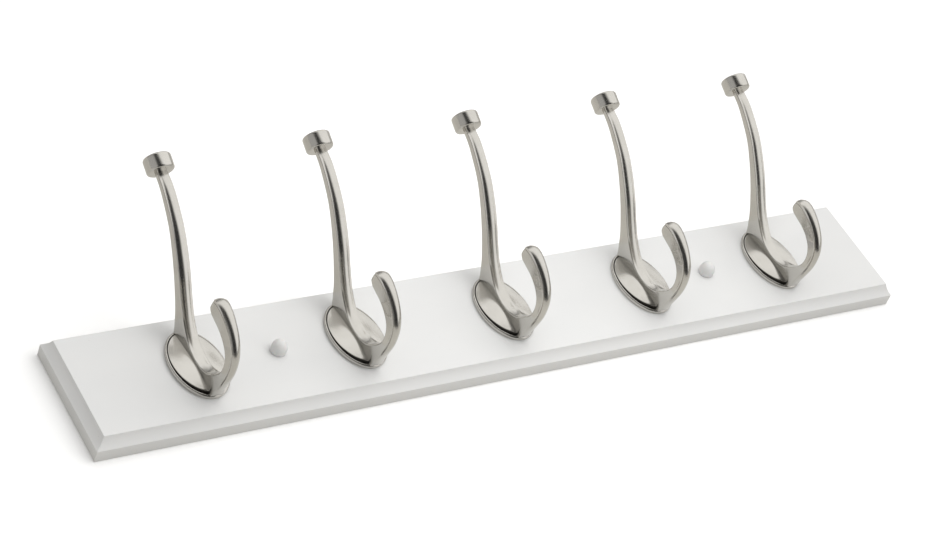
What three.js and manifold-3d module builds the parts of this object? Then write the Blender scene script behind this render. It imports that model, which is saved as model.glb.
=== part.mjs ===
// Wall hook rack: a painted board with five cast coat-and-hat hooks.
//
// Millimetres. +X runs along the board, +Z up the wall, and -Y out into the room.
// The origin is the centre of the board's back face, the face that lies on the wall.

import * as THREE from 'three';
import { mergeVertices } from 'three/addons/utils/BufferGeometryUtils.js';
import Module from 'manifold-3d';

const wasm = await Module();
wasm.setup();

// ---------------------------------------------------------------- driving sizes

// Board, and the cove moulding that runs round its front edge.
const boardLength = 686;
const boardHeight = 98;
const boardThickness = 18.5;
const coveInset = 5.4;
const coveSideDepth = 10; // plain edge left below the cove, measured from the wall
const coveRadius = 18;
const coveSteps = 5;

// Hooks along the board.
const hookCount = 5;
const hookPitch = 124.8;

// Oval base plate of a hook.
const plateHalfWidth = 20.5;
const plateHalfHeight = 31;
const rimHeight = 3.2;
const domeRise = 2.7; // of the side lobes above the rim
const lobeLift = 2.4; // extra height of the lobes at the lower end
const lobeLiftStart = 14; // how far above centre the lift begins
const lobeEdge = 0.912; // where the lobes begin, as a share of the plate's half width
const lobeStep = 0.15; // from the rim up to the lobes' edge
const lobeSteps = 4;
const grooveDepth = 1.4; // of the groove between the rim and the lobes
const grooveSpread = 0.018; // how much wider it gets at the lower end, as a share of the width
const plateChamfer = 0.6;
const rimBevel = 1;
const plateSegments = 48;

// Round disc at the end of the long prong.
const pillRadius = 10;
const pillThickness = 11.3;
const pillBevel = 1.6;
const pillBevelCut = 0.3; // how far in the bevel's middle lies, as a share of the bevel
const pillUp = 110;
const pillOut = 84.6;
const pillTilt = THREE.MathUtils.degToRad(21); // of its axis, out from straight up
const pillSegments = 32;

// Machine screws that hold a hook, put in from behind the board.
const screwSpacing = 34;
const screwRadius = 2.08;
const screwHeadRadius = 4.1;
const screwHeadHeight = 2.8;
// The pan head's rounded edge, as [share of its radius, share of its height].
const screwHeadEdge = [[1, 0.55], [0.86, 0.87], [0.55, 1]];
const screwBite = 7.5; // length of thread in the casting
const recessWidth = 1.1;
const recessSpan = 4.6;
const recessDepth = 1.6;
const screwPoint = 0.6; // chamfer at the screw's tip
const screwSegments = 12;
const holeSegments = 16;

// Caps that hide the wall screws, and the holes they press into.
const capSpacing = 373;
const capSideHeight = 3.6;
const capDomeHeight = 6.4;
const capStemLength = 5;
const capHoleRadius = 4.8;
const capHoleDepth = 9;
const capLip = 1.1; // how far the cap's head covers the board round its hole
const capChamfer = 0.6; // leaves a shadow line under the head
const stemChamfer = 0.8;
const capSteps = 6;
const capSegments = 28;
const wallScrewHoleRadius = 2.75;

// Clearances.
const fitGap = 0.3; // between pieces that touch or slide on each other
const shankClearance = 0.6; // round a hook screw where it passes through the board
const headClearance = 1.1; // round a hook screw's head in its counterbore
const headSink = 3.2; // depth of a hook screw's head below the board's back face
const tapExtra = 1.5; // tapped hole beyond the screw's tip
const cutPast = 2; // how far a cutter runs past the face that it opens

// ---------------------------------------------------------------- materials

function paint(name) {
  const material = new THREE.MeshStandardMaterial({ color: 0xe4e4e2, roughness: 0.55, metalness: 0 });
  material.name = name;
  return material;
}

function nickel(name) {
  const material = new THREE.MeshStandardMaterial({ color: 0xb8b4aa, roughness: 0.32, metalness: 1 });
  material.name = name;
  return material;
}

function zincSteel(name) {
  const material = new THREE.MeshStandardMaterial({ color: 0xa9adb0, roughness: 0.4, metalness: 1 });
  material.name = name;
  return material;
}

function whitePlastic(name) {
  const material = new THREE.MeshStandardMaterial({ color: 0xececea, roughness: 0.4, metalness: 0 });
  material.name = name;
  return material;
}

// ---------------------------------------------------------------- solids

function toSolid(geometry) {
  const bare = geometry.clone();
  bare.deleteAttribute('normal');
  bare.deleteAttribute('uv');
  const merged = mergeVertices(bare, 1e-4);
  return new wasm.Manifold(new wasm.Mesh({
    numProp: 3,
    vertProperties: new Float32Array(merged.attributes.position.array),
    triVerts: new Uint32Array(merged.index.array),
  }));
}

function toGeometry(solid) {
  const mesh = solid.getMesh();
  const geometry = new THREE.BufferGeometry();
  geometry.setAttribute('position', new THREE.BufferAttribute(mesh.vertProperties, 3));
  geometry.setIndex(new THREE.BufferAttribute(mesh.triVerts, 1));
  geometry.computeVertexNormals();
  return geometry;
}

// A turned solid about the Y axis. The profile is [radius, y] pairs in rising y,
// and it starts and ends on the axis.
function turned(profile, segments) {
  const points = profile.map(([radius, y]) => new THREE.Vector2(radius, y));
  return new THREE.LatheGeometry(points, segments);
}

// ---------------------------------------------------------------- board

// Section of the board's edge as [inset, depth] pairs, from the wall face to the front.
// The cove is one arc that bulges into the board.
function edgeSection() {
  const start = new THREE.Vector2(0, coveSideDepth);
  const end = new THREE.Vector2(coveInset, boardThickness);
  const chord = end.clone().sub(start);
  const middle = start.clone().add(end).multiplyScalar(0.5);
  const rise = Math.sqrt(coveRadius ** 2 - chord.lengthSq() / 4);
  const outward = new THREE.Vector2(-chord.y, chord.x).normalize();
  const centre = middle.add(outward.multiplyScalar(rise));
  const from = Math.atan2(start.y - centre.y, start.x - centre.x);
  const to = Math.atan2(end.y - centre.y, end.x - centre.x);
  const section = [[0, 0]];
  for (let i = 0; i <= coveSteps; i += 1) {
    const angle = from + ((to - from) * i) / coveSteps;
    section.push([centre.x + coveRadius * Math.cos(angle), centre.y + coveRadius * Math.sin(angle)]);
  }
  return section;
}

// The board is a four-sided turned solid, pulled out along X, so that its moulding is mitred.
function boardBlank() {
  const halfHeight = boardHeight / 2;
  const corner = Math.SQRT2;
  const outline = edgeSection().map(([inset, depth]) => [(halfHeight - inset) * corner, -depth]);
  const profile = [[0, 0], ...outline, [0, -boardThickness]].reverse();
  const points = profile.map(([radius, y]) => new THREE.Vector2(radius, y));
  const geometry = new THREE.LatheGeometry(points, 4, Math.PI / 4);
  const stretch = (boardLength - boardHeight) / 2;
  const position = geometry.attributes.position;
  for (let i = 0; i < position.count; i += 1) {
    const x = position.getX(i);
    if (Math.abs(x) > 1) {
      position.setX(i, x + Math.sign(x) * stretch);
    }
  }
  return toSolid(geometry);
}

// Cutter for a wall screw: a wide hole from the front for the cap, then the shank's hole.
function capHoleCutter(x) {
  const front = -boardThickness;
  const floor = front + capHoleDepth;
  const cutter = turned([
    [0, front - cutPast],
    [capHoleRadius, front - cutPast],
    [capHoleRadius, floor],
    [wallScrewHoleRadius, floor],
    [wallScrewHoleRadius, cutPast],
    [0, cutPast],
  ], capSegments);
  return toSolid(cutter.translate(x, 0, 0));
}

const counterboreDepth = headSink + screwHeadHeight;

// Cutter for a hook screw: the shank's hole, then a counterbore open at the back.
function hookHoleCutter(x, z) {
  const cutter = turned([
    [0, -boardThickness - cutPast],
    [screwRadius + shankClearance, -boardThickness - cutPast],
    [screwRadius + shankClearance, -counterboreDepth],
    [screwHeadRadius + headClearance, -counterboreDepth],
    [screwHeadRadius + headClearance, cutPast],
    [0, cutPast],
  ], holeSegments);
  return toSolid(cutter.translate(x, 0, z));
}

const hookPlaces = [];
for (let i = 0; i < hookCount; i += 1) {
  hookPlaces.push((i - (hookCount - 1) / 2) * hookPitch);
}

const screwHeights = [screwSpacing / 2, -screwSpacing / 2];

function backboard() {
  let solid = boardBlank();
  for (const side of [-1, 1]) {
    solid = solid.subtract(capHoleCutter((side * capSpacing) / 2));
  }
  for (const x of hookPlaces) {
    for (const z of screwHeights) {
      solid = solid.subtract(hookHoleCutter(x, z));
    }
  }
  return toGeometry(solid);
}

// ---------------------------------------------------------------- hook casting

// A hook is drawn in [up, out] pairs: up the wall from the plate's centre, and out from its back.
function place(across, up, out) {
  return new THREE.Vector3(across, -out, up);
}

// The plate's profile as [share of the oval, height, share of the lift], from the middle of
// its back round to the middle of its front: a thin rim, a narrow groove and a gentle dome.
function plateProfile() {
  const rows = [
    [0, 0, 0],
    [0.97, 0, 0],
    [1, plateChamfer, 0],
    [1, rimHeight - rimBevel, 0],
    [0.965, rimHeight - 0.3 * rimBevel, 0],
    [0.937, rimHeight, 0],
    [0.929, rimHeight - grooveDepth, 0],
    [0.918, rimHeight - grooveDepth, 0],
  ];
  for (let i = 0; i <= lobeSteps; i += 1) {
    const share = lobeEdge * (1 - i / lobeSteps);
    const rise = domeRise * (1 - (share / lobeEdge) ** 2);
    rows.push([share, rimHeight + lobeStep + rise, 1]);
  }
  return rows;
}

// The oval plate. Its lobes stand higher towards the lower end, and the groove is wider there.
function plateSolid() {
  const rows = plateProfile();
  const geometry = turned(rows, plateSegments);
  const position = geometry.attributes.position;
  for (let i = 0; i < position.count; i += 1) {
    const [, height, lift] = rows[i % rows.length];
    const level = position.getZ(i) * plateHalfHeight;
    const slope = (lobeLiftStart - level) / (lobeLiftStart + plateHalfHeight);
    const low = lift * THREE.MathUtils.clamp(slope, 0, 1);
    const shrink = 1 - grooveSpread * low;
    const across = -position.getX(i) * plateHalfWidth * shrink;
    const moved = place(across, level * shrink, height + lobeLift * low);
    position.setXYZ(i, moved.x, moved.y, moved.z);
  }
  return toSolid(geometry);
}

const pillAxis = [Math.cos(pillTilt), Math.sin(pillTilt)];

function alongPill(distance, offset) {
  return [
    pillUp + pillAxis[0] * distance - pillAxis[1] * offset,
    pillOut + pillAxis[1] * distance + pillAxis[0] * offset,
  ];
}

// The bar that makes the long prong, the web on the plate and the short prong.
// It runs from the pill, down to the plate, and up to the short prong's tip.
// Each station has a front point, a back point, half its width, and how far
// the front and back faces bulge between their edges.
const neck = -pillThickness / 2 - 0.8;
const barStations = [
  { front: alongPill(-2.5, 2.4), back: alongPill(-2.5, -1.3), half: 3.8, bulge: [1.2, 0.3] },
  { front: alongPill(neck, 2.5), back: alongPill(neck, -1.3), half: 3.8, bulge: [1.2, 0.3] },
  { front: [89.7, 80.7], back: [91.9, 76.5], half: 4.0, bulge: [1.3, 0.3] },
  { front: [69.0, 69.0], back: [72.2, 64.4], half: 4.2, bulge: [1.4, 0.3] },
  { front: [55.0, 56.8], back: [59.4, 52.4], half: 4.4, bulge: [1.4, 0.3] },
  { front: [43.8, 44.9], back: [49.5, 40.3], half: 4.4, bulge: [1.4, 0.3] },
  { front: [34.4, 33.1], back: [41.5, 28.5], half: 4.3, bulge: [1.4, 0.3] },
  { front: [25.3, 22.8], back: [35.4, 18.2], half: 4.2, bulge: [1.4, 0.2] },
  { front: [16.0, 15.2], back: [31.2, 8.3], half: 4.2, bulge: [1.4, 0.2] },
  { front: [8.0, 11.0], back: [27.0, 1.0], half: 4.2, bulge: [1.2, 0] },
  { front: [-0.4, 9.5], back: [10.4, 0.8], half: 4.2, bulge: [1.0, 0] },
  { front: [-8.9, 10.0], back: [-8.0, 0.8], half: 4.2, bulge: [0.8, 0] },
  { front: [-16.0, 12.2], back: [-22.0, 1.0], half: 4.3, bulge: [0.6, 0] },
  { front: [-21.5, 15.8], back: [-30.4, 2.8], half: 4.3, bulge: [0.5, 0.3] },
  { front: [-26.0, 20.2], back: [-33.7, 11.6], half: 4.3, bulge: [0.5, 1.3] },
  { front: [-29.9, 25.5], back: [-36.6, 20.6], half: 4.3, bulge: [0.5, 2.2] },
  { front: [-32.2, 31.9], back: [-38.8, 29.4], half: 4.4, bulge: [0.6, 2.8] },
  { front: [-32.0, 38.5], back: [-39.3, 37.8], half: 4.5, bulge: [0.7, 3.1] },
  { front: [-29.7, 44.1], back: [-37.9, 46.2], half: 4.7, bulge: [0.8, 3.1] },
  { front: [-25.6, 48.5], back: [-33.6, 54.0], half: 5.1, bulge: [1.0, 3.2] },
  { front: [-20.4, 51.6], back: [-27.0, 60.2], half: 5.5, bulge: [1.2, 3.3] },
  { front: [-14.5, 53.3], back: [-18.8, 64.9], half: 5.9, bulge: [1.6, 3.4] },
  { front: [-8.4, 53.6], back: [-10.5, 67.7], half: 6.2, bulge: [2.2, 3.3] },
  { front: [-3.2, 53.6], back: [-3.8, 67.8], half: 6.2, bulge: [2.8, 3.0] },
  { front: [0.7, 54.8], back: [0.9, 65.2], half: 5.1, bulge: [2.6, 2.2] },
  { front: [2.6, 57.8], back: [2.7, 61.4], half: 2.4, bulge: [0.9, 0.8] },
];

// Places round the bar's section: [across, side] with side +1 at the back face and -1
// at the front face. Zero is half way down a flat flank.
const barSection = [
  [0, 1], [0.5, 1], [1, 1], [1, 0], [1, -1], [0.5, -1],
  [0, -1], [-0.5, -1], [-1, -1], [-1, 0], [-1, 1], [-0.5, 1],
];

function stationCurve(read) {
  const points = barStations.map((station) => new THREE.Vector3(...read(station)));
  return new THREE.CatmullRomCurve3(points);
}

const frontCurve = stationCurve((station) => [0, ...station.front]);
const backCurve = stationCurve((station) => [0, ...station.back]);
const sizeCurve = stationCurve((station) => [station.half, ...station.bulge]);

// A cylinder whose rings are laid out along the stations.
function barSolid() {
  const sides = barSection.length;
  const rings = 2 * (barStations.length - 1);
  const geometry = new THREE.CylinderGeometry(1, 1, 1, sides, rings);
  const position = geometry.attributes.position;
  for (let i = 0; i < position.count; i += 1) {
    const x = position.getX(i);
    const z = position.getZ(i);
    const t = position.getY(i) + 0.5;
    const front = frontCurve.getPoint(t);
    const back = backCurve.getPoint(t);
    const [half, frontBulge, backBulge] = sizeCurve.getPoint(t).toArray();
    const centre = front.clone().add(back).multiplyScalar(0.5);
    const reach = back.clone().sub(front).multiplyScalar(0.5);
    const turn = Math.round((Math.atan2(x, z) / (2 * Math.PI)) * sides);
    const [across, side] = Math.hypot(x, z) < 0.5 ? [0, 0] : barSection[(turn + sides) % sides];
    const bulge = (side > 0 ? backBulge : frontBulge) * across ** 2;
    const depth = side * Math.max(reach.length() - bulge, 0.2);
    const point = centre.add(reach.normalize().multiplyScalar(depth));
    const moved = place(across * half, point.y, point.z);
    position.setXYZ(i, moved.x, moved.y, moved.z);
  }
  return toSolid(geometry);
}

function pillSolid() {
  const half = pillThickness / 2;
  const geometry = turned([
    [0, -half],
    [pillRadius - pillBevel, -half],
    [pillRadius - pillBevel * pillBevelCut, -half + pillBevel * pillBevelCut],
    [pillRadius, -half + pillBevel],
    [pillRadius, half - pillBevel],
    [pillRadius - pillBevel * pillBevelCut, half - pillBevel * pillBevelCut],
    [pillRadius - pillBevel, half],
    [0, half],
  ], pillSegments);
  geometry.rotateX(Math.PI / 2 + pillTilt);
  return toSolid(geometry.translate(...place(0, pillUp, pillOut).toArray()));
}

// Tapped holes in the back of the casting, one for each screw.
function tappedHoleCutter(z) {
  const cutter = turned([
    [0, -(screwBite + tapExtra)],
    [screwRadius + fitGap, -(screwBite + tapExtra)],
    [screwRadius + fitGap, cutPast],
    [0, cutPast],
  ], screwSegments);
  return toSolid(cutter.translate(0, 0, z));
}

function hookCasting() {
  let solid = plateSolid().add(barSolid()).add(pillSolid());
  for (const z of screwHeights) {
    solid = solid.subtract(tappedHoleCutter(z));
  }
  return toGeometry(solid);
}

// ---------------------------------------------------------------- screws and caps

// A pan-head machine screw, drawn with its tip towards the room.
function hookScrew() {
  const seat = -(counterboreDepth - fitGap);
  const tip = -(boardThickness + fitGap + screwBite);
  const top = seat + screwHeadHeight;
  const body = turned([
    [0, tip],
    [screwRadius - screwPoint, tip],
    [screwRadius, tip + screwPoint],
    [screwRadius, seat],
    [screwHeadRadius, seat],
    ...screwHeadEdge.map(([wide, tall]) => [screwHeadRadius * wide, seat + screwHeadHeight * tall]),
    [0, top],
  ], screwSegments);
  let solid = toSolid(body);
  for (const [wide, tall] of [[recessSpan, recessWidth], [recessWidth, recessSpan]]) {
    const slot = new THREE.BoxGeometry(wide, 2 * recessDepth, tall);
    solid = solid.subtract(toSolid(slot.translate(0, top, 0)));
  }
  return toGeometry(solid);
}

// A domed button with a short stem that presses into the hole over a wall screw.
function screwCap() {
  const seat = -(boardThickness + fitGap);
  const shoulder = seat - capSideHeight;
  const headRadius = capHoleRadius + capLip;
  const stemRadius = capHoleRadius - fitGap;
  const stemEnd = seat + capStemLength;
  const profile = [[0, shoulder - capDomeHeight]];
  for (let i = 1; i <= capSteps; i += 1) {
    const angle = (i / capSteps) * (Math.PI / 2);
    profile.push([headRadius * Math.sin(angle), shoulder - capDomeHeight * Math.cos(angle)]);
  }
  profile.push([headRadius, seat - capChamfer], [headRadius - capChamfer, seat]);
  profile.push([stemRadius, seat], [stemRadius, stemEnd - stemChamfer]);
  profile.push([stemRadius - stemChamfer, stemEnd], [0, stemEnd]);
  return toGeometry(toSolid(turned(profile, capSegments)));
}

// ---------------------------------------------------------------- assembly

function piece(name, geometry, material) {
  const mesh = new THREE.Mesh(geometry, material);
  mesh.name = name;
  return mesh;
}

const group = new THREE.Group();
group.add(piece('backboard', backboard(), paint('board_paint')));

const hookGeometry = hookCasting();
const screwGeometry = hookScrew();
const screwNames = ['upper', 'lower'];
hookPlaces.forEach((x, i) => {
  const number = i + 1;
  const hook = piece(`hook_${number}`, hookGeometry, nickel('satin_nickel'));
  hook.position.set(x, -(boardThickness + fitGap), 0);
  group.add(hook);
  screwHeights.forEach((z, k) => {
    const screw = piece(`hook_screw_${number}_${screwNames[k]}`, screwGeometry, zincSteel('zinc_steel'));
    screw.position.set(x, 0, z);
    group.add(screw);
  });
});

const capGeometry = screwCap();
[['screw_cap_left', -1], ['screw_cap_right', 1]].forEach(([name, side]) => {
  const cap = piece(name, capGeometry, whitePlastic('cap_plastic'));
  cap.position.set((side * capSpacing) / 2, 0, 0);
  group.add(cap);
});

export default group;
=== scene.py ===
# %% [markdown]
# A white wall rack with five coat-and-hat hooks, built piece by piece. The CAD model is
# loaded first and never changes. It says where each piece goes and how big it is, and every
# piece below is a finer stand-in for one of its solids. Blender works in metres here, with +X
# along the board, +Z up the wall and -Y out into the room.
# %% Open the CAD frame
import math
import bmesh
import bpy
from mathutils import Matrix, Vector


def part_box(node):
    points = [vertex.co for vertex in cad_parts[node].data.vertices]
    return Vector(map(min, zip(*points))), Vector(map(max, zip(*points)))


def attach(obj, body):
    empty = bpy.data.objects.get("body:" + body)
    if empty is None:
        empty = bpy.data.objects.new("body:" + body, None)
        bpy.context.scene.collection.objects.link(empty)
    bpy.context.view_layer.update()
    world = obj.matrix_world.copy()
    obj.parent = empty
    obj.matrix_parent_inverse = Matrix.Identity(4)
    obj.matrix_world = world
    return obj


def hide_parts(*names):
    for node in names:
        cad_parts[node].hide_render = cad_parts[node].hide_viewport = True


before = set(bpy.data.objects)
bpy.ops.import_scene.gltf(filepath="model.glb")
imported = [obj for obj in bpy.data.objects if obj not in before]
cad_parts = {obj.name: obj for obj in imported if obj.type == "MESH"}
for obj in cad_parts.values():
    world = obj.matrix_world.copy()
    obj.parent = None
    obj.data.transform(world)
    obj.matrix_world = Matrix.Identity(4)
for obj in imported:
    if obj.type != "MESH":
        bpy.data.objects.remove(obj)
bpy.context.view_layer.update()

# %% [markdown]
# Makers of hardware think in millimetres, and Blender's unit is the metre. One constant turns
# one into the other, so that the sizes below read like those on a workshop drawing. The places
# of the pieces come from the frame: the front of the board, and the middle of each hook and cap.
# %% Read the places from the frame
MM = 0.001


def middle_x(node):
    low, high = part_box(node)
    return (low[0] + high[0]) / 2


board_low, board_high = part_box("backboard")
BOARD_FRONT = board_low[1]
HOOK_NAMES = [f"hook_{number}" for number in range(1, 6)]
CAP_SIDES = ["left", "right"]
SEAT_GAP = 0.05 * MM  # left under a hook or a cap, so that two faces never share a plane
print("board front at y =", round(BOARD_FRONT, 5))
print("hooks at x =", [round(middle_x(name), 4) for name in HOOK_NAMES])

# %% [markdown]
# A long rack looks best lying on its back and seen through a long lens a couple of metres
# away. In this frame the rack hangs on the wall, so the camera leans over to one side to see
# it the same way. A camera could be aimed with a tracking constraint, but three fixed angles
# are simpler, and they keep the lean.
# %% Set the camera
camera_data = bpy.data.cameras.new("studio_camera")
camera_data.sensor_width = 36
camera_data.lens = 103.75
camera = bpy.data.objects.new("studio_camera", camera_data)
camera.location = (-1.07208, -1.32300, -1.03928)
camera.rotation_euler = [math.radians(angle) for angle in (127.6358, 27.8497, -19.6249)]
bpy.context.collection.objects.link(camera)
bpy.context.scene.camera = camera
print("camera distance from the board:", round(camera.location.length, 3), "m")

# %% [markdown]
# Most pieces here are either turned on a lathe or drawn out along a line, so both are rings of
# points joined into a skin. One helper takes the rings and closes the ends. Writing the rings
# out gives full control of the edges: a bevel modifier would be quicker, but it can't leave one
# edge crisp and soften the next.
# %% A skin over rings of points


def skin_over(name, rings):
    """A closed mesh over rings with the same count of points; a ring of one point is a tip."""
    shell = bmesh.new()
    made = [[shell.verts.new(point) for point in ring] for ring in rings]
    for lower, upper in zip(made, made[1:]):
        count = max(len(lower), len(upper))
        for i in range(count):
            j = (i + 1) % count
            if len(lower) == 1:
                shell.faces.new((lower[0], upper[j], upper[i]))
            elif len(upper) == 1:
                shell.faces.new((lower[i], lower[j], upper[0]))
            else:
                shell.faces.new((lower[i], lower[j], upper[j], upper[i]))
    for ring in (made[0], made[-1]):
        if len(ring) > 2:
            shell.faces.new(ring)
    bmesh.ops.recalc_face_normals(shell, faces=shell.faces)
    mesh = bpy.data.meshes.new(name)
    shell.to_mesh(mesh)
    shell.free()
    return mesh


def turned_rings(profile, segments, matrix=Matrix()):
    """Rings for a lathe profile of (radius, height) pairs in millimetres, about the Z axis."""
    rings = []
    for radius, height in profile:
        if radius < 1e-6:
            rings.append([matrix @ Vector((0, 0, height * MM))])
            continue
        ring = []
        for i in range(segments):
            angle = 2 * math.pi * i / segments
            flat = (radius * math.cos(angle) * MM, radius * math.sin(angle) * MM, height * MM)
            ring.append(matrix @ Vector(flat))
        rings.append(ring)
    return rings


def arc(centre, radius, start, end, steps):
    """Points on an arc, with the angles in degrees."""
    points = []
    for i in range(steps + 1):
        angle = math.radians(start + (end - start) * i / steps)
        points.append((centre[0] + radius * math.cos(angle), centre[1] + radius * math.sin(angle)))
    return points


def stand_piece(name, mesh, place=(0, 0, 0)):
    piece = bpy.data.objects.new(name, mesh)
    piece.location = place
    bpy.context.collection.objects.link(piece)
    return piece


def soften(mesh, crisp_angle):
    """Smooth shading, apart from the edges that turn by more than crisp_angle degrees."""
    mesh.shade_smooth()
    mesh.set_sharp_from_angle(angle=math.radians(crisp_angle))


def combine(piece, others, operation):
    """Joins or cuts closed meshes, and keeps the finished mesh on the piece."""
    for other in others:
        step = piece.modifiers.new("combine", "BOOLEAN")
        step.operation = operation
        step.solver = "EXACT"
        step.object = other
    ready = bpy.context.evaluated_depsgraph_get()
    mesh = bpy.data.meshes.new_from_object(piece.evaluated_get(ready))
    piece.modifiers.clear()
    piece.data = mesh
    for other in others:
        bpy.data.objects.remove(other)
    return mesh


print("ring helpers ready")

# %% [markdown]
# The board is one length of fibreboard. A cutter runs round its front edge and leaves a cove,
# a hollow curve, and the cuts meet in a mitre at each corner. It could be a box with a curved
# bevel, but the bevel modifier leaves no plain edge below the cove. Here the edge is drawn as
# a section, and each point of it becomes one ring round the board, with its corners rounded by
# less than a millimetre, as sanding and paint leave them.
# %% The board's edge section
HALF_LENGTH = (board_high[0] - board_low[0]) / 2 / MM
HALF_HEIGHT = (board_high[2] - board_low[2]) / 2 / MM
THICKNESS = (board_high[1] - board_low[1]) / MM
COVE_INSET = 5.4
COVE_START = 10.0
COVE_RADIUS = 18.0
ARRIS = 0.45  # radius that sanding leaves on an edge
BACK_MARGIN = 1.2  # a ring on the flat back, which keeps the shading flat there
COVE_STEPS = 14
# The lip where the cove meets the front face, as (inset, depth) beside the cove's last point.
LIP = ((-0.12, -0.28), (0.02, -0.1), (0.25, -0.01), (0.6, 0), (2.5, 0))


def cove_points(steps):
    """(inset, depth) pairs along the hollow, from the plain edge to the front face."""
    start = Vector((0, COVE_START))
    end = Vector((COVE_INSET, THICKNESS))
    chord = end - start
    rise = math.sqrt(COVE_RADIUS ** 2 - chord.length_squared / 4)
    outward = Vector((-chord.y, chord.x)).normalized()
    centre = (start + end) / 2 + outward * rise
    first = math.degrees(math.atan2(start.y - centre.y, start.x - centre.x))
    last = math.degrees(math.atan2(end.y - centre.y, end.x - centre.x))
    return arc(centre, COVE_RADIUS, first, last, steps)


def edge_section():
    section = [(BACK_MARGIN, 0), (ARRIS, 0)]
    section += [(ARRIS * (1 - math.sin(a)), ARRIS * (1 - math.cos(a))) for a in (0.5, 1.0)]
    section += [(0, ARRIS), (0, COVE_START - 0.5)]
    cove = cove_points(COVE_STEPS)
    section += cove[:-1]
    inset, depth = cove[-1]
    section += [(inset + inward, depth + outward) for inward, outward in LIP]
    return section


def board_rings():
    rings = []
    for inset, depth in edge_section():
        ring = []
        for quarter, (sx, sz) in enumerate(((1, 1), (-1, 1), (-1, -1), (1, -1))):
            cx = sx * (HALF_LENGTH - inset - ARRIS)
            cz = sz * (HALF_HEIGHT - inset - ARRIS)
            for x, z in arc((cx, cz), ARRIS, 90 * quarter, 90 * quarter + 90, 3):
                ring.append(Vector((x * MM, -depth * MM, z * MM)))
        rings.append(ring)
    return rings


board = stand_piece("painted_board", skin_over("painted_board", board_rings()))
print("board skin:", len(board.data.polygons), "faces")

# %% [markdown]
# Twelve holes are bored in the board. Two are stepped from the front: a wide seat for a cap and
# a narrow hole for the wall screw. Ten come from the back: a counterbore for a screw's head and
# a clear hole for its shank. A drill leaves bare fibreboard, so each cutter carries a second
# material slot, and the walls that it leaves keep it.
# %% Bore the holes
CAP_SEAT = (4.8, 9.0)  # radius and depth
WALL_SCREW_HOLE = 2.75
HEAD_HOLE = (5.2, 6.0)
SHANK_HOLE = 2.68
RUN_OUT = 2.0  # how far a cutter runs past the face that it opens
TURN_TO_WALL = Matrix.Rotation(math.radians(-90), 4, "X")  # lathe axis Z becomes +Y

board_paint = bpy.data.materials.new("board_paint")
bare_fibre = bpy.data.materials.new("bare_fibreboard")


def cutter(profile, x, z):
    rings = turned_rings(profile, 40, Matrix.Translation((x, 0, z)) @ TURN_TO_WALL)
    tool = stand_piece("cutter", skin_over("cutter", rings))
    tool.data.materials.append(board_paint)
    tool.data.materials.append(bare_fibre)
    for face in tool.data.polygons:
        face.material_index = 1
    return tool


def screw_height(place):
    low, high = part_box(f"hook_screw_3_{place}")
    return (low[2] + high[2]) / 2


cap_profile = [
    (0, -THICKNESS - RUN_OUT), (CAP_SEAT[0], -THICKNESS - RUN_OUT),
    (CAP_SEAT[0], -THICKNESS + CAP_SEAT[1]), (WALL_SCREW_HOLE, -THICKNESS + CAP_SEAT[1]),
    (WALL_SCREW_HOLE, RUN_OUT), (0, RUN_OUT),
]
screw_profile = [
    (0, -THICKNESS - RUN_OUT), (SHANK_HOLE, -THICKNESS - RUN_OUT), (SHANK_HOLE, -HEAD_HOLE[1]),
    (HEAD_HOLE[0], -HEAD_HOLE[1]), (HEAD_HOLE[0], RUN_OUT), (0, RUN_OUT),
]
tools = [cutter(cap_profile, middle_x(f"screw_cap_{side}"), 0) for side in CAP_SIDES]
for hook in HOOK_NAMES:
    for place in ("upper", "lower"):
        tools.append(cutter(screw_profile, middle_x(hook), screw_height(place)))
board.data.materials.append(board_paint)
board.data.materials.append(bare_fibre)
combine(board, tools, "DIFFERENCE")
soften(board.data, 28)
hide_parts("backboard")
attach(board, "rack")
print("bored board:", len(board.data.polygons), "faces")

# %% [markdown]
# Each hook is one zinc casting. Its base is an oval plate: a thin rim, a narrow groove, and a
# dome that stands higher towards its lower end. A dome could be scaled from a sphere, but rings
# that follow the oval let the groove stay sharp, and the lift is one line of arithmetic. The
# groove gets a darker nickel of its own, which is painted shade for the shadow deep in it.
# %% The oval plate
PLATE_HALF_WIDTH = 20.5
PLATE_HALF_HEIGHT = 31.0
RIM_HEIGHT = 3.2
DOME_RISE = 2.7
LOBE_LIFT = 2.4
LIFT_START = 14.0  # above the middle, where the dome begins to lift
DOME_EDGE = 0.912  # of the plate's half width
DOME_START = 0.893  # the first ring of the dome inside its soft edge
DOME_STEP = 0.12  # from the rim up to the dome's edge
DOME_STEPS = 18
GROOVE_DEPTH = 1.4
GROOVE_SPREAD = 0.018  # how much wider the groove gets towards the lower end, of the half width


def spot(across, up, out):
    """A place on a hook: across it, up the wall, and out from its back, in millimetres."""
    return Vector((across * MM, -out * MM, up * MM))


def plate_profile():
    """(fraction of the oval, height, share of the lift) from the back to the middle."""
    rim = RIM_HEIGHT
    floor = rim - GROOVE_DEPTH
    profile = [(0.972, 0, 0), (0.992, 0.15, 0), (1, 0.5, 0), (1, rim - 1.0, 0)]
    profile += [(0.994, rim - 0.62, 0), (0.980, rim - 0.28, 0), (0.962, rim - 0.06, 0)]
    profile += [(0.946, rim, 0), (0.937, rim - 0.08, 0), (0.932, rim - 0.4, 0)]
    profile += [(0.927, floor, 0), (0.917, floor, 0.02), (0.9135, rim - 0.6, 0.5)]
    profile += [(0.913, rim, 0.9), (0.911, rim + 0.1, 0.97), (0.905, rim + 0.19, 1)]
    for i in range(DOME_STEPS + 1):
        r = DOME_START * (1 - i / DOME_STEPS)
        profile.append((r, rim + DOME_STEP + DOME_RISE * (1 - (r / DOME_EDGE) ** 2), 1))
    return profile


GROOVE_RINGS = range(9, 13)  # the spans of the profile that are inside the groove


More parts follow.
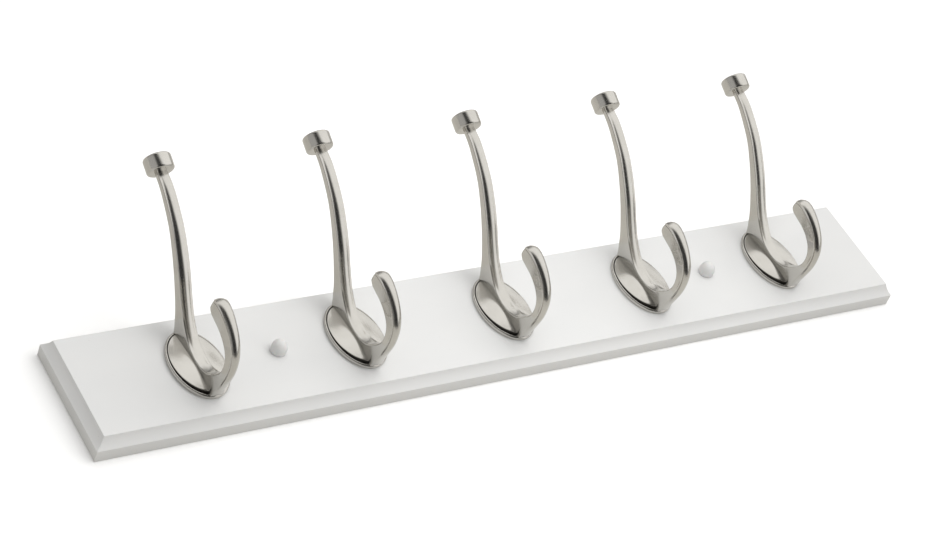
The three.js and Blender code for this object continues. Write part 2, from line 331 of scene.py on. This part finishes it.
def plate_rings(segments):
    rings = []
    for r, height, share in plate_profile():
        ring = []
        for i in range(segments if r > 0 else 1):
            angle = 2 * math.pi * i / segments
            up = PLATE_HALF_HEIGHT * r * math.sin(angle)
            low = (LIFT_START - up) / (LIFT_START + PLATE_HALF_HEIGHT)
            low = min(max(low, 0), 1)
            fraction = r - GROOVE_SPREAD * low * share * r
            across = PLATE_HALF_WIDTH * fraction * math.cos(angle)
            up = PLATE_HALF_HEIGHT * fraction * math.sin(angle)
            ring.append(spot(across, up, height + share * LOBE_LIFT * low))
        rings.append(ring)
    return rings


PLATE_SEGMENTS = 112
plate = stand_piece("plate", skin_over("plate", plate_rings(PLATE_SEGMENTS)))
satin_nickel = bpy.data.materials.new("satin_nickel")
groove_painted_shade = bpy.data.materials.new("groove_painted_shade")
plate.data.materials.append(satin_nickel)
plate.data.materials.append(groove_painted_shade)
# The faces inside the groove take the near-black material, which is painted shade.
for span in GROOVE_RINGS:
    for face in plate.data.polygons[span * PLATE_SEGMENTS:(span + 1) * PLATE_SEGMENTS]:
        face.material_index = 1
print("plate:", [round(side / MM, 1) for side in plate.dimensions], "mm")

# %% [markdown]
# One bar makes the long prong, the web that runs down the plate and the short prong that curls
# back up. Its flanks are flat and its front and back are crowned, with a narrow rounded corner
# between them, and that corner is what catches the light as a fine line. A bevelled curve would
# twist and couldn't change its section, so the bar is a row of sections along a table of
# stations, with a smooth curve through them.
# %% Stations along the bar
PILL_RADIUS = 10.0
PILL_THICKNESS = 11.3
PILL_UP = 110.0
PILL_OUT = 84.6
PILL_TILT = math.radians(21)


def along_pill(distance, offset):
    """An (up, out) point, measured along the disc's axis and square to it."""
    up = PILL_UP + math.cos(PILL_TILT) * distance - math.sin(PILL_TILT) * offset
    return (up, PILL_OUT + math.sin(PILL_TILT) * distance + math.cos(PILL_TILT) * offset)


NECK = -PILL_THICKNESS / 2 - 0.8
# front (up, out), back (up, out), half the width, bulge of the front and of the back
STATIONS = [
    (along_pill(-2.5, 2.4), along_pill(-2.5, -1.3), 3.8, 1.2, 0.3),
    (along_pill(NECK, 2.5), along_pill(NECK, -1.3), 3.8, 1.2, 0.3),
    ((89.7, 80.7), (91.9, 76.5), 4.0, 1.3, 0.3),
    ((69.0, 69.0), (72.2, 64.4), 4.2, 1.4, 0.3),
    ((55.0, 56.8), (59.4, 52.4), 4.4, 1.4, 0.3),
    ((43.8, 44.9), (49.5, 40.3), 4.4, 1.4, 0.3),
    ((34.4, 33.1), (41.5, 28.5), 4.3, 1.4, 0.3),
    ((25.3, 22.8), (35.4, 18.2), 4.2, 1.4, 0.2),
    ((16.0, 15.2), (31.2, 8.3), 4.2, 1.4, 0.2),
    ((8.0, 11.0), (27.0, 1.0), 4.2, 1.2, 0.0),
    ((-0.4, 9.5), (10.4, 0.8), 4.2, 1.0, 0.0),
    ((-8.9, 10.0), (-8.0, 0.8), 4.2, 0.8, 0.0),
    ((-16.0, 12.2), (-22.0, 1.0), 4.3, 0.6, 0.0),
    ((-21.5, 15.8), (-30.4, 2.8), 4.3, 0.5, 0.3),
    ((-26.0, 20.2), (-33.7, 11.6), 4.3, 0.5, 1.3),
    ((-29.9, 25.5), (-36.6, 20.6), 4.3, 0.5, 2.2),
    ((-32.2, 31.9), (-38.8, 29.4), 4.4, 0.6, 2.8),
    ((-32.0, 38.5), (-39.3, 37.8), 4.5, 0.7, 3.1),
    ((-29.7, 44.1), (-37.9, 46.2), 4.7, 0.8, 3.1),
    ((-25.6, 48.5), (-33.6, 54.0), 5.1, 1.0, 3.2),
    ((-20.4, 51.6), (-27.0, 60.2), 5.5, 1.2, 3.3),
    ((-14.5, 53.3), (-18.8, 64.9), 5.9, 1.6, 3.4),
    ((-8.4, 53.6), (-10.5, 67.7), 6.2, 2.2, 3.3),
    ((-3.2, 53.6), (-3.8, 67.8), 6.2, 2.8, 3.0),
    ((0.7, 54.8), (0.9, 65.2), 5.1, 2.6, 2.2),
    ((2.6, 57.8), (2.7, 61.4), 2.4, 0.9, 0.8),
]
print(len(STATIONS), "stations along the bar")

# %% [markdown]
# Between two stations the bar has to stay smooth, so every number in the table runs along a
# curve that passes through each station and leaves it in the direction of its neighbours. A
# straight blend would show as a row of flats in polished metal.
# %% Smooth numbers between stations


def through_stations(rows, per_span):
    """Rows of numbers along a smooth curve through the given rows."""
    smooth = []
    for k in range(len(rows) - 1):
        before = rows[max(k - 1, 0)]
        start = rows[k]
        end = rows[k + 1]
        after = rows[min(k + 2, len(rows) - 1)]
        for step in range(per_span):
            t = step / per_span
            row = []
            for a, b, c, d in zip(before, start, end, after):
                bend = (2 * a - 5 * b + 4 * c - d) * t + (3 * b - a - 3 * c + d) * t * t
                row.append(b + 0.5 * t * ((c - a) + bend))
            smooth.append(row)
    smooth.append(list(rows[-1]))
    return smooth


ROUND_FROM = 13  # the station where the short prong begins to turn round
CRISP = 0.26  # width of the corner on the long prong
SOFT = 1.0  # and on the outside of the short prong, which is almost round
SECTIONS_PER_SPAN = 5

station_rows = []
for number, (front, back, half, crown, heel) in enumerate(STATIONS):
    turned_by = min(max(number - ROUND_FROM + 1, 0) / 2, 1)
    soft = CRISP + (SOFT - CRISP) * turned_by
    station_rows.append((*front, *back, half, crown, heel, soft))
bar_rows = through_stations(station_rows, SECTIONS_PER_SPAN)
print(len(bar_rows), "sections along the bar")

# %% [markdown]
# A section has a crowned front, two flat flanks and a crowned back. The four corners are arcs
# that run from one face to the next, so they shade smoothly into both. On the long prong they
# are as small as tumbling leaves them, and on the short prong they are nearly the whole side.
# %% One section of the bar
FACE_STEPS = 10
CORNER_STEPS = 5
WIDEST_CORNER = 0.4  # of half the bar's width
FRONT_CORNER = 0.5  # the front's corner never gets wider than this
DEEPEST_BULGE = 0.9  # of half the bar's depth


def crowned_half(half, depth, bulge, soft):
    """One face with its two corners, as (across, depth) points from -half to half.

    The face is a parabola. Each corner is an arc that touches the flank and the face.
    """
    turn_in = half - min(soft, half * WIDEST_CORNER)
    height = depth - bulge * (turn_in / half) ** 2
    slope = 2 * bulge * turn_in / half ** 2
    face_line = Vector((1, slope)).normalized()
    flank_line = Vector((0, -1))
    corner = Vector((-half, height - slope * (half - turn_in)))
    reach = (half - turn_in) / face_line.x
    opening = flank_line.angle(face_line)
    radius = reach * math.tan(opening / 2)
    centre = corner + (flank_line + face_line).normalized() * radius / math.sin(opening / 2)
    first = corner + flank_line * reach - centre
    last = corner + face_line * reach - centre
    left = [centre + first.slerp(last, i / CORNER_STEPS) for i in range(CORNER_STEPS + 1)]
    middle = []
    for i in range(1, FACE_STEPS):
        across = turn_in * (2 * i / FACE_STEPS - 1)
        middle.append(Vector((across, depth - bulge * (across / half) ** 2)))
    right = [Vector((-point.x, point.y)) for point in reversed(left)]
    return left + middle + right


def bar_rings():
    rings = []
    for front_up, front_out, back_up, back_out, half, crown, heel, soft in bar_rows:
        front = Vector((front_up, front_out))
        back = Vector((back_up, back_out))
        centre = (front + back) / 2
        depth = (front - back).length / 2
        ahead = (front - back).normalized()
        ring = []
        for side, bulge, width in ((1, crown, min(soft, FRONT_CORNER)), (-1, heel, soft)):
            bulge = min(bulge, depth * DEEPEST_BULGE)
            for point in crowned_half(half, depth, bulge, max(width, CRISP)):
                at = centre + ahead * point.y * side
                ring.append(spot(point.x * side, at.x, at.y))
        rings.append(ring)
    return rings


rings = bar_rings()
bar = stand_piece("bar", skin_over("bar", rings))
print("bar:", len(rings[0]), "points round each section,", len(bar.data.polygons), "faces")

# %% [markdown]
# The long prong ends in a round disc, like a thick coin, with its axis leaning out from the
# wall. It is turned, with a softly rounded edge on both faces. A cylinder with a bevel would
# do nearly as well; here rings of a turned profile make it, with flat faces.
# %% The disc, and the casting in one piece
PILL_EDGE = 1.6


def pill_profile():
    half = PILL_THICKNESS / 2
    flat = PILL_RADIUS - PILL_EDGE
    lower = arc((flat, -half + PILL_EDGE), PILL_EDGE, -90, 0, 6)
    upper = arc((flat, half - PILL_EDGE), PILL_EDGE, 0, 90, 6)
    return [(0, -half), (flat * 0.5, -half)] + lower + upper + [(flat * 0.5, half), (0, half)]


lean = Matrix.Rotation(PILL_TILT, 4, "X")
pill_rings = turned_rings(pill_profile(), 72, Matrix.Translation(spot(0, PILL_UP, PILL_OUT)) @ lean)
pill = stand_piece("pill", skin_over("pill", pill_rings))

casting = stand_piece("casting", plate.data)
bpy.data.objects.remove(plate)
hook_mesh = combine(casting, [bar, pill], "UNION")
bpy.data.objects.remove(casting)
soften(hook_mesh, 32)
hook_mesh.name = "hook_casting"
print("casting:", len(hook_mesh.polygons), "faces")

# %% [markdown]
# The five hooks are the same casting, so they share its shape. Each one gets its own copy of
# the mesh, stands on the board where the frame says, and rides with the rack.
# %% Stand the hooks on the board
for name in HOOK_NAMES:
    place = (middle_x(name), BOARD_FRONT - SEAT_GAP, 0)
    hook = stand_piece(f"cast_{name}", hook_mesh.copy(), place)
    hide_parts(name)
    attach(hook, "rack")
print("hooks:", len(HOOK_NAMES))

# %% [markdown]
# Two machine screws hold each hook from behind. They have a pan head with a cross recess, and
# a rolled thread. The thread is a helix, which could be a screw modifier; here it is a ripple
# on a turned shank whose phase runs once round for each pitch, so the skin stays closed.
# %% Hook screws
SCREW_RADIUS = 2.08
HEAD_RADIUS = 4.1
HEAD_HEIGHT = 2.8
THREAD_PITCH = 0.7
THREAD_DEPTH = 0.38
THREAD_SIDES = 20
THREAD_RUN = 0.8  # length over which the thread fades in and out
SHANK_IN_HEAD = 0.4  # how far the shank runs up into the head


def screw_shank(tip, seat):
    """Rings from the tip to the seat under the head, in millimetres along Y."""
    count = int((seat - tip) / THREAD_PITCH * 6)
    rings = []
    for k in range(count + 1):
        along = tip + (seat - tip) * k / count
        lead = min((along - tip) / THREAD_RUN, 1)
        fade = lead * min((seat - along) / THREAD_RUN, 1)
        ring = []
        for i in range(THREAD_SIDES):
            turn = i / THREAD_SIDES
            phase = ((along - tip) / THREAD_PITCH + turn) % 1
            crest = abs(2 * phase - 1)
            radius = SCREW_RADIUS - THREAD_DEPTH * (1 - crest * fade) * (fade > 0)
            if fade == 0:
                radius = SCREW_RADIUS - THREAD_DEPTH
            angle = 2 * math.pi * turn
            ring.append(Vector((radius * math.cos(angle), along, radius * math.sin(angle))) * MM)
        rings.append(ring)
    return rings


def screw_head(seat):
    """Rings of the pan head, from the seat to its crown."""
    profile = [(HEAD_RADIUS - 0.15, 0), (HEAD_RADIUS, 0.15), (HEAD_RADIUS, HEAD_HEIGHT * 0.45)]
    profile += [(HEAD_RADIUS * math.cos(a), HEAD_HEIGHT * (0.45 + 0.53 * math.sin(a) ** 0.9))
                for a in (0.25, 0.5, 0.75, 1.0, 1.2, 1.35)]
    profile.append((0, HEAD_HEIGHT))
    rings = []
    for radius, height in profile:
        if radius == 0:
            rings.append([Vector((0, (seat + height) * MM, 0))])
            continue
        ring = []
        for i in range(THREAD_SIDES * 2):
            angle = math.pi * i / THREAD_SIDES
            at = (radius * math.cos(angle), seat + height, radius * math.sin(angle))
            ring.append(Vector(at) * MM)
        rings.append(ring)
    return rings


def cross_bit(top):
    """A tapered cross, as a driver leaves it."""
    blades = []
    for turn in (0, 90):
        rings = []
        for depth, reach, width in ((-1.7, 0.7, 0.35), (0.0, 2.3, 0.55), (0.6, 2.5, 0.6)):
            corners = ((-reach, -width), (reach, -width), (reach, width), (-reach, width))
            spin = Matrix.Rotation(math.radians(turn), 3, "Y")
            rings.append([spin @ Vector((x, top + depth, z)) * MM for x, z in corners])
        blades.append(stand_piece("blade", skin_over("blade", rings)))
    return blades


screw_low, screw_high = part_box("hook_screw_3_upper")
tip = screw_low[1] / MM
top = screw_high[1] / MM
seat = top - HEAD_HEIGHT
screw = stand_piece("screw", skin_over("screw", screw_head(seat)))
shank = stand_piece("shank", skin_over("shank", screw_shank(tip, seat + SHANK_IN_HEAD)))
combine(screw, [shank], "UNION")
screw_mesh = combine(screw, cross_bit(top), "DIFFERENCE")
bpy.data.objects.remove(screw)
soften(screw_mesh, 30)
zinc_steel = bpy.data.materials.new("zinc_steel")
screw_mesh.materials.clear()
screw_mesh.materials.append(zinc_steel)
for hook in HOOK_NAMES:
    for place in ("upper", "lower"):
        name = f"{hook.replace('hook', 'hook_screw')}_{place}"
        at = (middle_x(hook), 0, screw_height(place))
        screw = stand_piece(f"machine_{name}", screw_mesh.copy(), at)
        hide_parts(name)
        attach(screw, "rack")
print("screw:", len(screw_mesh.polygons), "faces, ten of them")

# %% [markdown]
# A cap is a moulded button that hides a wall screw. Its head is a tall dome with a straight
# side, and a stem grips the hole. It is turned in one piece. The cap rides on its own body,
# because it pulls out of the board.
# %% Screw caps
CAP_RADIUS = 5.9
CAP_SIDE = 3.6
CAP_DOME = 6.4
CAP_STEM = 4.5
CAP_STEM_LENGTH = 5.0
CAP_UNDERCUT = 0.6  # chamfer below the head, which leaves a shadow line
STEM_ROUND = 0.8
DOME_RINGS = 12
CAP_SIDES_ROUND = 64


def cap_profile_points():
    flat = CAP_STEM - STEM_ROUND
    profile = [(0, CAP_STEM_LENGTH), (flat, CAP_STEM_LENGTH)]
    profile += arc((flat, CAP_STEM_LENGTH - STEM_ROUND), STEM_ROUND, 90, 0, 4)[1:]
    profile += [(CAP_STEM, 0.05), (CAP_RADIUS - CAP_UNDERCUT, 0), (CAP_RADIUS, -CAP_UNDERCUT)]
    profile += [(CAP_RADIUS, -CAP_SIDE * 0.6)]
    for i in range(DOME_RINGS):
        angle = math.radians(90 * i / DOME_RINGS)
        out = -CAP_SIDE - CAP_DOME * math.sin(angle)
        profile.append((CAP_RADIUS * math.cos(angle), out))
    return profile + [(0, -CAP_SIDE - CAP_DOME)]


cap_rings = turned_rings(cap_profile_points(), CAP_SIDES_ROUND, TURN_TO_WALL)
cap_mesh = skin_over("button_cap", cap_rings)
soften(cap_mesh, 30)
cap_plastic = bpy.data.materials.new("cap_plastic")
cap_mesh.materials.append(cap_plastic)
for side in CAP_SIDES:
    name = f"screw_cap_{side}"
    place = (middle_x(name), BOARD_FRONT - SEAT_GAP, 0)
    cap = stand_piece(f"button_{name}", cap_mesh.copy(), place)
    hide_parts(name)
    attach(cap, f"cap_{side}")
print("caps:", len(CAP_SIDES))

# %% [markdown]
# Every finish below is a node material that works from the piece's own coordinates, so it moves
# with the piece and needs no image. Each object also has a random number, which shifts the
# pattern, so that five hooks from one mesh don't carry the same marks.
# %% Node helpers


class Finish:
    """A small builder for one material's nodes."""

    def __init__(self, material):
        material.use_nodes = True
        self.tree = material.node_tree
        self.shader = self.tree.nodes["Principled BSDF"]
        coordinates = self.add("ShaderNodeTexCoord")
        chance = self.add("ShaderNodeObjectInfo")
        shift = self.add("ShaderNodeVectorMath", operation="SCALE")
        shift.inputs[0].default_value = (0.37, 0.21, 0.53)
        self.tree.links.new(chance.outputs["Random"], shift.inputs["Scale"])
        moved = self.add("ShaderNodeVectorMath", operation="ADD")
        self.tree.links.new(coordinates.outputs["Object"], moved.inputs[0])
        self.tree.links.new(shift.outputs["Vector"], moved.inputs[1])
        self.own_place = coordinates.outputs["Object"]
        self.place = moved.outputs["Vector"]

    def add(self, kind, **settings):
        node = self.tree.nodes.new(kind)
        for name, value in settings.items():
            setattr(node, name, value)
        return node

    def join(self, source, target):
        self.tree.links.new(source, target)

    def noise(self, scale, detail=3.0, rough=0.5, stretch=None):
        """Noise with features of about 1/scale metres; stretch multiplies each axis."""
        node = self.add("ShaderNodeTexNoise")
        node.inputs["Scale"].default_value = scale
        node.inputs["Detail"].default_value = detail
        node.inputs["Roughness"].default_value = rough
        place = self.place
        if stretch:
            scaled = self.add("ShaderNodeVectorMath", operation="MULTIPLY")
            scaled.inputs[1].default_value = stretch
            self.join(place, scaled.inputs[0])
            place = scaled.outputs["Vector"]
        self.join(place, node.inputs["Vector"])
        return node.outputs["Fac"]

    def between(self, source, low, high, from_low=0.3, from_high=0.7):
        """A number from low to high as the source goes from from_low to from_high."""
        node = self.add("ShaderNodeMapRange", interpolation_type="SMOOTHSTEP")
        for socket, value in zip(node.inputs[1:5], (from_low, from_high, low, high)):
            socket.default_value = value
        self.join(source, node.inputs[0])
        return node.outputs[0]

    def blend(self, factor, first, second):
        """A colour between two, either of them a colour or another node's output."""
        node = self.add("ShaderNodeMix", data_type="RGBA")
        self.join(factor, node.inputs[0])
        for socket, colour in ((node.inputs[6], first), (node.inputs[7], second)):
            if isinstance(colour, tuple):
                socket.default_value = (*colour, 1)
            else:
                self.join(colour, socket)
        return node.outputs[2]

    def bump(self, height, depth, under=None):
        """Raises the surface by depth metres where height is one."""
        node = self.add("ShaderNodeBump")
        node.inputs["Distance"].default_value = depth
        node.inputs["Strength"].default_value = 1.0
        self.join(height, node.inputs["Height"])
        if under:
            self.join(under, node.inputs["Normal"])
        return node.outputs["Normal"]

    def set(self, name, value):
        """Sets a constant on the shader's own socket, or joins a node's output to it."""
        if isinstance(value, bpy.types.NodeSocket):
            self.join(value, self.shader.inputs[name])
        else:
            self.shader.inputs[name].default_value = value


print("finish helpers ready")

# %% [markdown]
# The board is sprayed with satin white lacquer over fibreboard. Up close it has a very fine
# orange-peel, a few soft clouds of sheen where the spray passed, and tiny specks of dust under
# the coat. All of it is faint: paint that looks dirty is a worse mistake than paint that looks
# plain. Bump carries the peel, because it is far too fine to model.
# %% White board paint
PAINT_LIGHT = (0.755, 0.755, 0.748)
PAINT_DEEP = (0.735, 0.737, 0.733)

paint = Finish(board_paint)
clouds = paint.noise(9, 4, 0.55, (1, 1, 2.2))
peel = paint.noise(900, 2, 0.5)
fibre = paint.noise(2600, 2, 0.6, (0.35, 1, 1))
specks = paint.between(paint.noise(620, 1, 0.3), 0, 0.35, 0.78, 0.84)
body_colour = paint.blend(paint.between(clouds, 0, 1), PAINT_LIGHT, PAINT_DEEP)
paint.set("Base Color", paint.blend(specks, body_colour, (0.50, 0.49, 0.47)))
paint.set("Roughness", paint.between(paint.noise(60, 4, 0.6), 0.42, 0.56))
paint.set("Normal", paint.bump(fibre, 0.000006, paint.bump(peel, 0.000016)))
paint.set("Specular IOR Level", 0.4)
print("board paint:", len(paint.tree.nodes), "nodes")

# %% [markdown]
# Inside the bored holes there is no paint, only medium-density fibreboard: a soft brown felt of
# short wood fibres, with fine rings that the drill leaves. Stretched noise makes the fibres and
# a fast ripple across the board's thickness makes the rings.
# %% Bare fibreboard in the holes
fibreboard = Finish(bare_fibre)
felt = fibreboard.noise(700, 5, 0.7, (1, 2.5, 1))
fibreboard.set("Base Color", fibreboard.blend(felt, (0.36, 0.24, 0.14), (0.56, 0.41, 0.26)))
fibreboard.set("Roughness", fibreboard.between(felt, 0.82, 0.96))
drill_marks = fibreboard.add("ShaderNodeTexWave", wave_type="BANDS", bands_direction="Y")
drill_marks.inputs["Scale"].default_value = 420
drill_marks.inputs["Distortion"].default_value = 2.5
fibreboard.join(fibreboard.place, drill_marks.inputs["Vector"])
rough_cut = fibreboard.bump(felt, 0.00012)
fibreboard.set("Normal", fibreboard.bump(drill_marks.outputs["Fac"], 0.00003, rough_cut))
print("fibreboard:", len(fibreboard.tree.nodes), "nodes")

# %% [markdown]
# Satin nickel is a zinc casting that is tumbled, bead-blasted very finely and plated. It isn't
# brushed in lines: the satin is a dense field of tiny dimples that spreads each reflection a
# little. A warm grey metal with a medium roughness gives the spread, fine noise gives the
# dimples, and slow noise makes some places a touch duller, as handling does. The groove's
# nickel is nearly black, which is painted shade: it stands for the shadow deep in the groove.
# %% Satin nickel
NICKEL = (0.600, 0.584, 0.550)
NICKEL_DULL = (0.565, 0.549, 0.514)

nickel = Finish(satin_nickel)
handled = nickel.noise(70, 4, 0.6)
blast = nickel.noise(4500, 2, 0.5)
nickel.set("Metallic", 1.0)
nickel.set("Base Color", nickel.blend(nickel.between(handled, 0, 1), NICKEL, NICKEL_DULL))
nickel.set("Roughness", nickel.between(blast, 0.21, 0.25))
nickel.set("Normal", nickel.bump(blast, 0.0000003))

# Painted shade: a near-black colour for the shadow deep in the narrow groove, mottled a little by
# noise.
groove = Finish(groove_painted_shade)
groove_shade_mottle = groove.noise(900, 3, 0.6)
groove.set("Metallic", 1.0)
groove.set("Base Color", groove.blend(groove_shade_mottle, (0.030, 0.028, 0.026), (0.075, 0.070, 0.062)))
groove.set("Roughness", groove.between(groove_shade_mottle, 0.40, 0.60))
print("satin nickel:", len(nickel.tree.nodes), "nodes")

# %% [markdown]
# The screws are bright zinc on steel: bluer and streakier than the nickel, with faint turning
# marks round the head and a few dull patches from the plating bath.
# %% Zinc on the screws
zinc = Finish(zinc_steel)
bath = zinc.noise(900, 4, 0.7)
zinc.set("Metallic", 1.0)
zinc.set("Base Color", zinc.blend(bath, (0.52, 0.55, 0.58), (0.70, 0.72, 0.73)))
zinc.set("Roughness", zinc.between(bath, 0.26, 0.46))
turning = zinc.add("ShaderNodeTexWave", wave_type="RINGS", rings_direction="Y")
turning.inputs["Scale"].default_value = 1600
turning.inputs["Distortion"].default_value = 1.5
zinc.join(zinc.own_place, turning.inputs["Vector"])
zinc.set("Normal", zinc.bump(turning.outputs["Fac"], 0.000004))
print("zinc:", len(zinc.tree.nodes), "nodes")

# %% [markdown]
# The caps are moulded in white polyethylene. It takes the fine spark texture of its mould and
# is a little translucent, which softens the edge of every shadow on it.
# %% Moulded cap plastic
plastic = Finish(cap_plastic)
spark = plastic.noise(2600, 2, 0.5)
shade = plastic.noise(160, 3, 0.5)
plastic.set("Base Color", plastic.blend(shade, (0.70, 0.70, 0.69), (0.75, 0.75, 0.74)))
plastic.set("Roughness", plastic.between(plastic.noise(420, 3, 0.6), 0.34, 0.48))
plastic.set("Normal", plastic.bump(spark, 0.000008))
plastic.set("Subsurface Weight", 0.08)
plastic.set("Subsurface Scale", 0.002)
print("cap plastic:", len(plastic.tree.nodes), "nodes")

# %% [markdown]
# The rack lies on a pale sweep of paper. The sweep has a window cut in it under the board, and
# its back is see-through, so the back of the rack can be seen and lit as well. To the camera
# the paper is a touch brighter than white, so that it stays white where less light falls. To
# the metal it is a softer grey, as paper is in a studio where only the part near the object
# is lit.
# %% The paper sweep
SWEEP_SIZE = 9.0
WINDOW_INSET = 0.5 * MM  # enough to hide the cut from the front
SWEEP_BEHIND = 0.1 * MM


def sweep_mesh():
    sheet = bmesh.new()
    frames = []
    inner = (board_high[0] - WINDOW_INSET, board_high[2] - WINDOW_INSET)
    for half_x, half_z in (inner, (SWEEP_SIZE / 2, SWEEP_SIZE / 2)):
        corners = ((half_x, half_z), (-half_x, half_z), (-half_x, -half_z), (half_x, -half_z))
        frames.append([sheet.verts.new((x, SWEEP_BEHIND, z)) for x, z in corners])
    for i in range(4):
        j = (i + 1) % 4
        sheet.faces.new((frames[0][i], frames[1][i], frames[1][j], frames[0][j]))
    for face in sheet.faces:
        face.normal_update()
        if face.normal.y > 0:
            face.normal_flip()
    mesh = bpy.data.meshes.new("paper_sweep")
    sheet.to_mesh(mesh)
    sheet.free()
    return mesh


paper = bpy.data.materials.new("white_paper")
paper.use_nodes = True
nodes = paper.node_tree.nodes
links = paper.node_tree.links
nodes.clear()
output = nodes.new("ShaderNodeOutputMaterial")
rays = nodes.new("ShaderNodeLightPath")
shade = nodes.new("ShaderNodeMix")
shade.data_type = "RGBA"
shade.inputs[6].default_value = (0.68, 0.665, 0.63, 1)
shade.inputs[7].default_value = (1.08, 1.08, 1.08, 1)
links.new(rays.outputs["Is Camera Ray"], shade.inputs[0])
front_side = nodes.new("ShaderNodeBsdfDiffuse")
links.new(shade.outputs[2], front_side.inputs["Color"])
back_side = nodes.new("ShaderNodeBsdfTransparent")
which_side = nodes.new("ShaderNodeNewGeometry")
pick = nodes.new("ShaderNodeMixShader")
links.new(which_side.outputs["Backfacing"], pick.inputs[0])
links.new(front_side.outputs[0], pick.inputs[1])
links.new(back_side.outputs[0], pick.inputs[2])
links.new(pick.outputs[0], output.inputs["Surface"])
sweep = stand_piece("paper_sweep", sweep_mesh())
sweep.data.materials.append(paper)
print("paper sweep:", SWEEP_SIZE, "m square")

# %% [markdown]
# The light is one big soft box to the right, a dimmer wall to the left, and darkness between
# them, straight out from the rack. The dark part is what draws the fine dark lines in the
# nickel, and without it polished metal looks like grey plastic. Lamps could do it, but a
# painted sky is softer: its brightness follows a direction's X, Y and Z. Two lamps that the
# metal can't see then fill the white board.
# %% The studio sky
world = bpy.data.worlds.new("studio_sky")
bpy.context.scene.world = world
world.use_nodes = True
sky = world.node_tree
sky.nodes.clear()
direction = sky.nodes.new("ShaderNodeTexCoord")
axes = sky.nodes.new("ShaderNodeSeparateXYZ")
sky.links.new(direction.outputs["Generated"], axes.inputs[0])


def sky_band(source, start, end, low, high):
    """A smooth step in brightness, from low at start to high at end."""
    node = sky.nodes.new("ShaderNodeMapRange")
    node.interpolation_type = "SMOOTHSTEP"
    for socket, value in zip(node.inputs[1:5], (start, end, low, high)):
        socket.default_value = value
    sky.links.new(axes.outputs[source] if isinstance(source, str) else source, node.inputs[0])
    return node.outputs[0]


def sky_sum(first, second, operation):
    node = sky.nodes.new("ShaderNodeMath")
    node.operation = operation
    for socket, value in zip(node.inputs, (first, second)):
        if isinstance(value, float):
            socket.default_value = value
        else:
            sky.links.new(value, socket)
    return node.outputs[0]


SOFTBOX_LEVEL = 1.15
LEFT_WALL_LEVEL = 0.52
DARK_LEVEL = 0.035
BEHIND_LEVEL = 0.6

lean_axis = sky_sum(axes.outputs["X"], sky_sum(axes.outputs["Z"], 0.5, "MULTIPLY"), "ADD")
softbox = sky_band(lean_axis, -0.24, 0.16, 0.0, SOFTBOX_LEVEL)
softbox = sky_sum(softbox, sky_band("Y", 0.0, -0.22, 0.0, 1.0), "MULTIPLY")
softbox = sky_sum(softbox, sky_band("Z", 0.97, 0.74, 0.3, 1.0), "MULTIPLY")
left_wall = sky_band("X", -0.52, -0.66, DARK_LEVEL, LEFT_WALL_LEVEL)
behind = sky_band("Y", 0.0, 0.02, 0.0, BEHIND_LEVEL)
brightness = sky_sum(sky_sum(softbox, left_wall, "ADD"), behind, "ADD")
soft_light = sky.nodes.new("ShaderNodeBackground")
soft_light.inputs["Color"].default_value = (1, 0.992, 0.975, 1)
sky.links.new(brightness, soft_light.inputs["Strength"])
plain_white = sky.nodes.new("ShaderNodeBackground")
plain_white.inputs["Color"].default_value = (1, 1, 1, 1)
seen = sky.nodes.new("ShaderNodeLightPath")
choose = sky.nodes.new("ShaderNodeMixShader")
sky.links.new(seen.outputs["Is Camera Ray"], choose.inputs[0])
sky.links.new(soft_light.outputs[0], choose.inputs[1])
sky.links.new(plain_white.outputs[0], choose.inputs[2])
sky_output = sky.nodes.new("ShaderNodeOutputWorld")
sky.links.new(choose.outputs[0], sky_output.inputs["Surface"])
bpy.context.scene.view_settings.view_transform = "Standard"
bpy.context.scene.view_settings.look = "None"

fill_data = bpy.data.lights.new("ceiling_fill", "SUN")
fill_data.energy = 1.0
fill_data.angle = math.radians(110)
fill = bpy.data.objects.new("ceiling_fill", fill_data)
fill.rotation_euler = (math.radians(120), 0, math.radians(-4))
fill.visible_glossy = False
bpy.context.collection.objects.link(fill)

pool_data = bpy.data.lights.new("pool_of_light", "AREA")
pool_data.shape = "DISK"
pool_data.size = 0.4
pool_data.energy = 0.49
pool = bpy.data.objects.new("pool_of_light", pool_data)
pool.location = (0.05, -0.40, -0.02)
pool.rotation_euler = (math.radians(90), 0, 0)
pool.visible_glossy = False
bpy.context.collection.objects.link(pool)
print("lights: a sky,", fill.name, "and", pool.name)
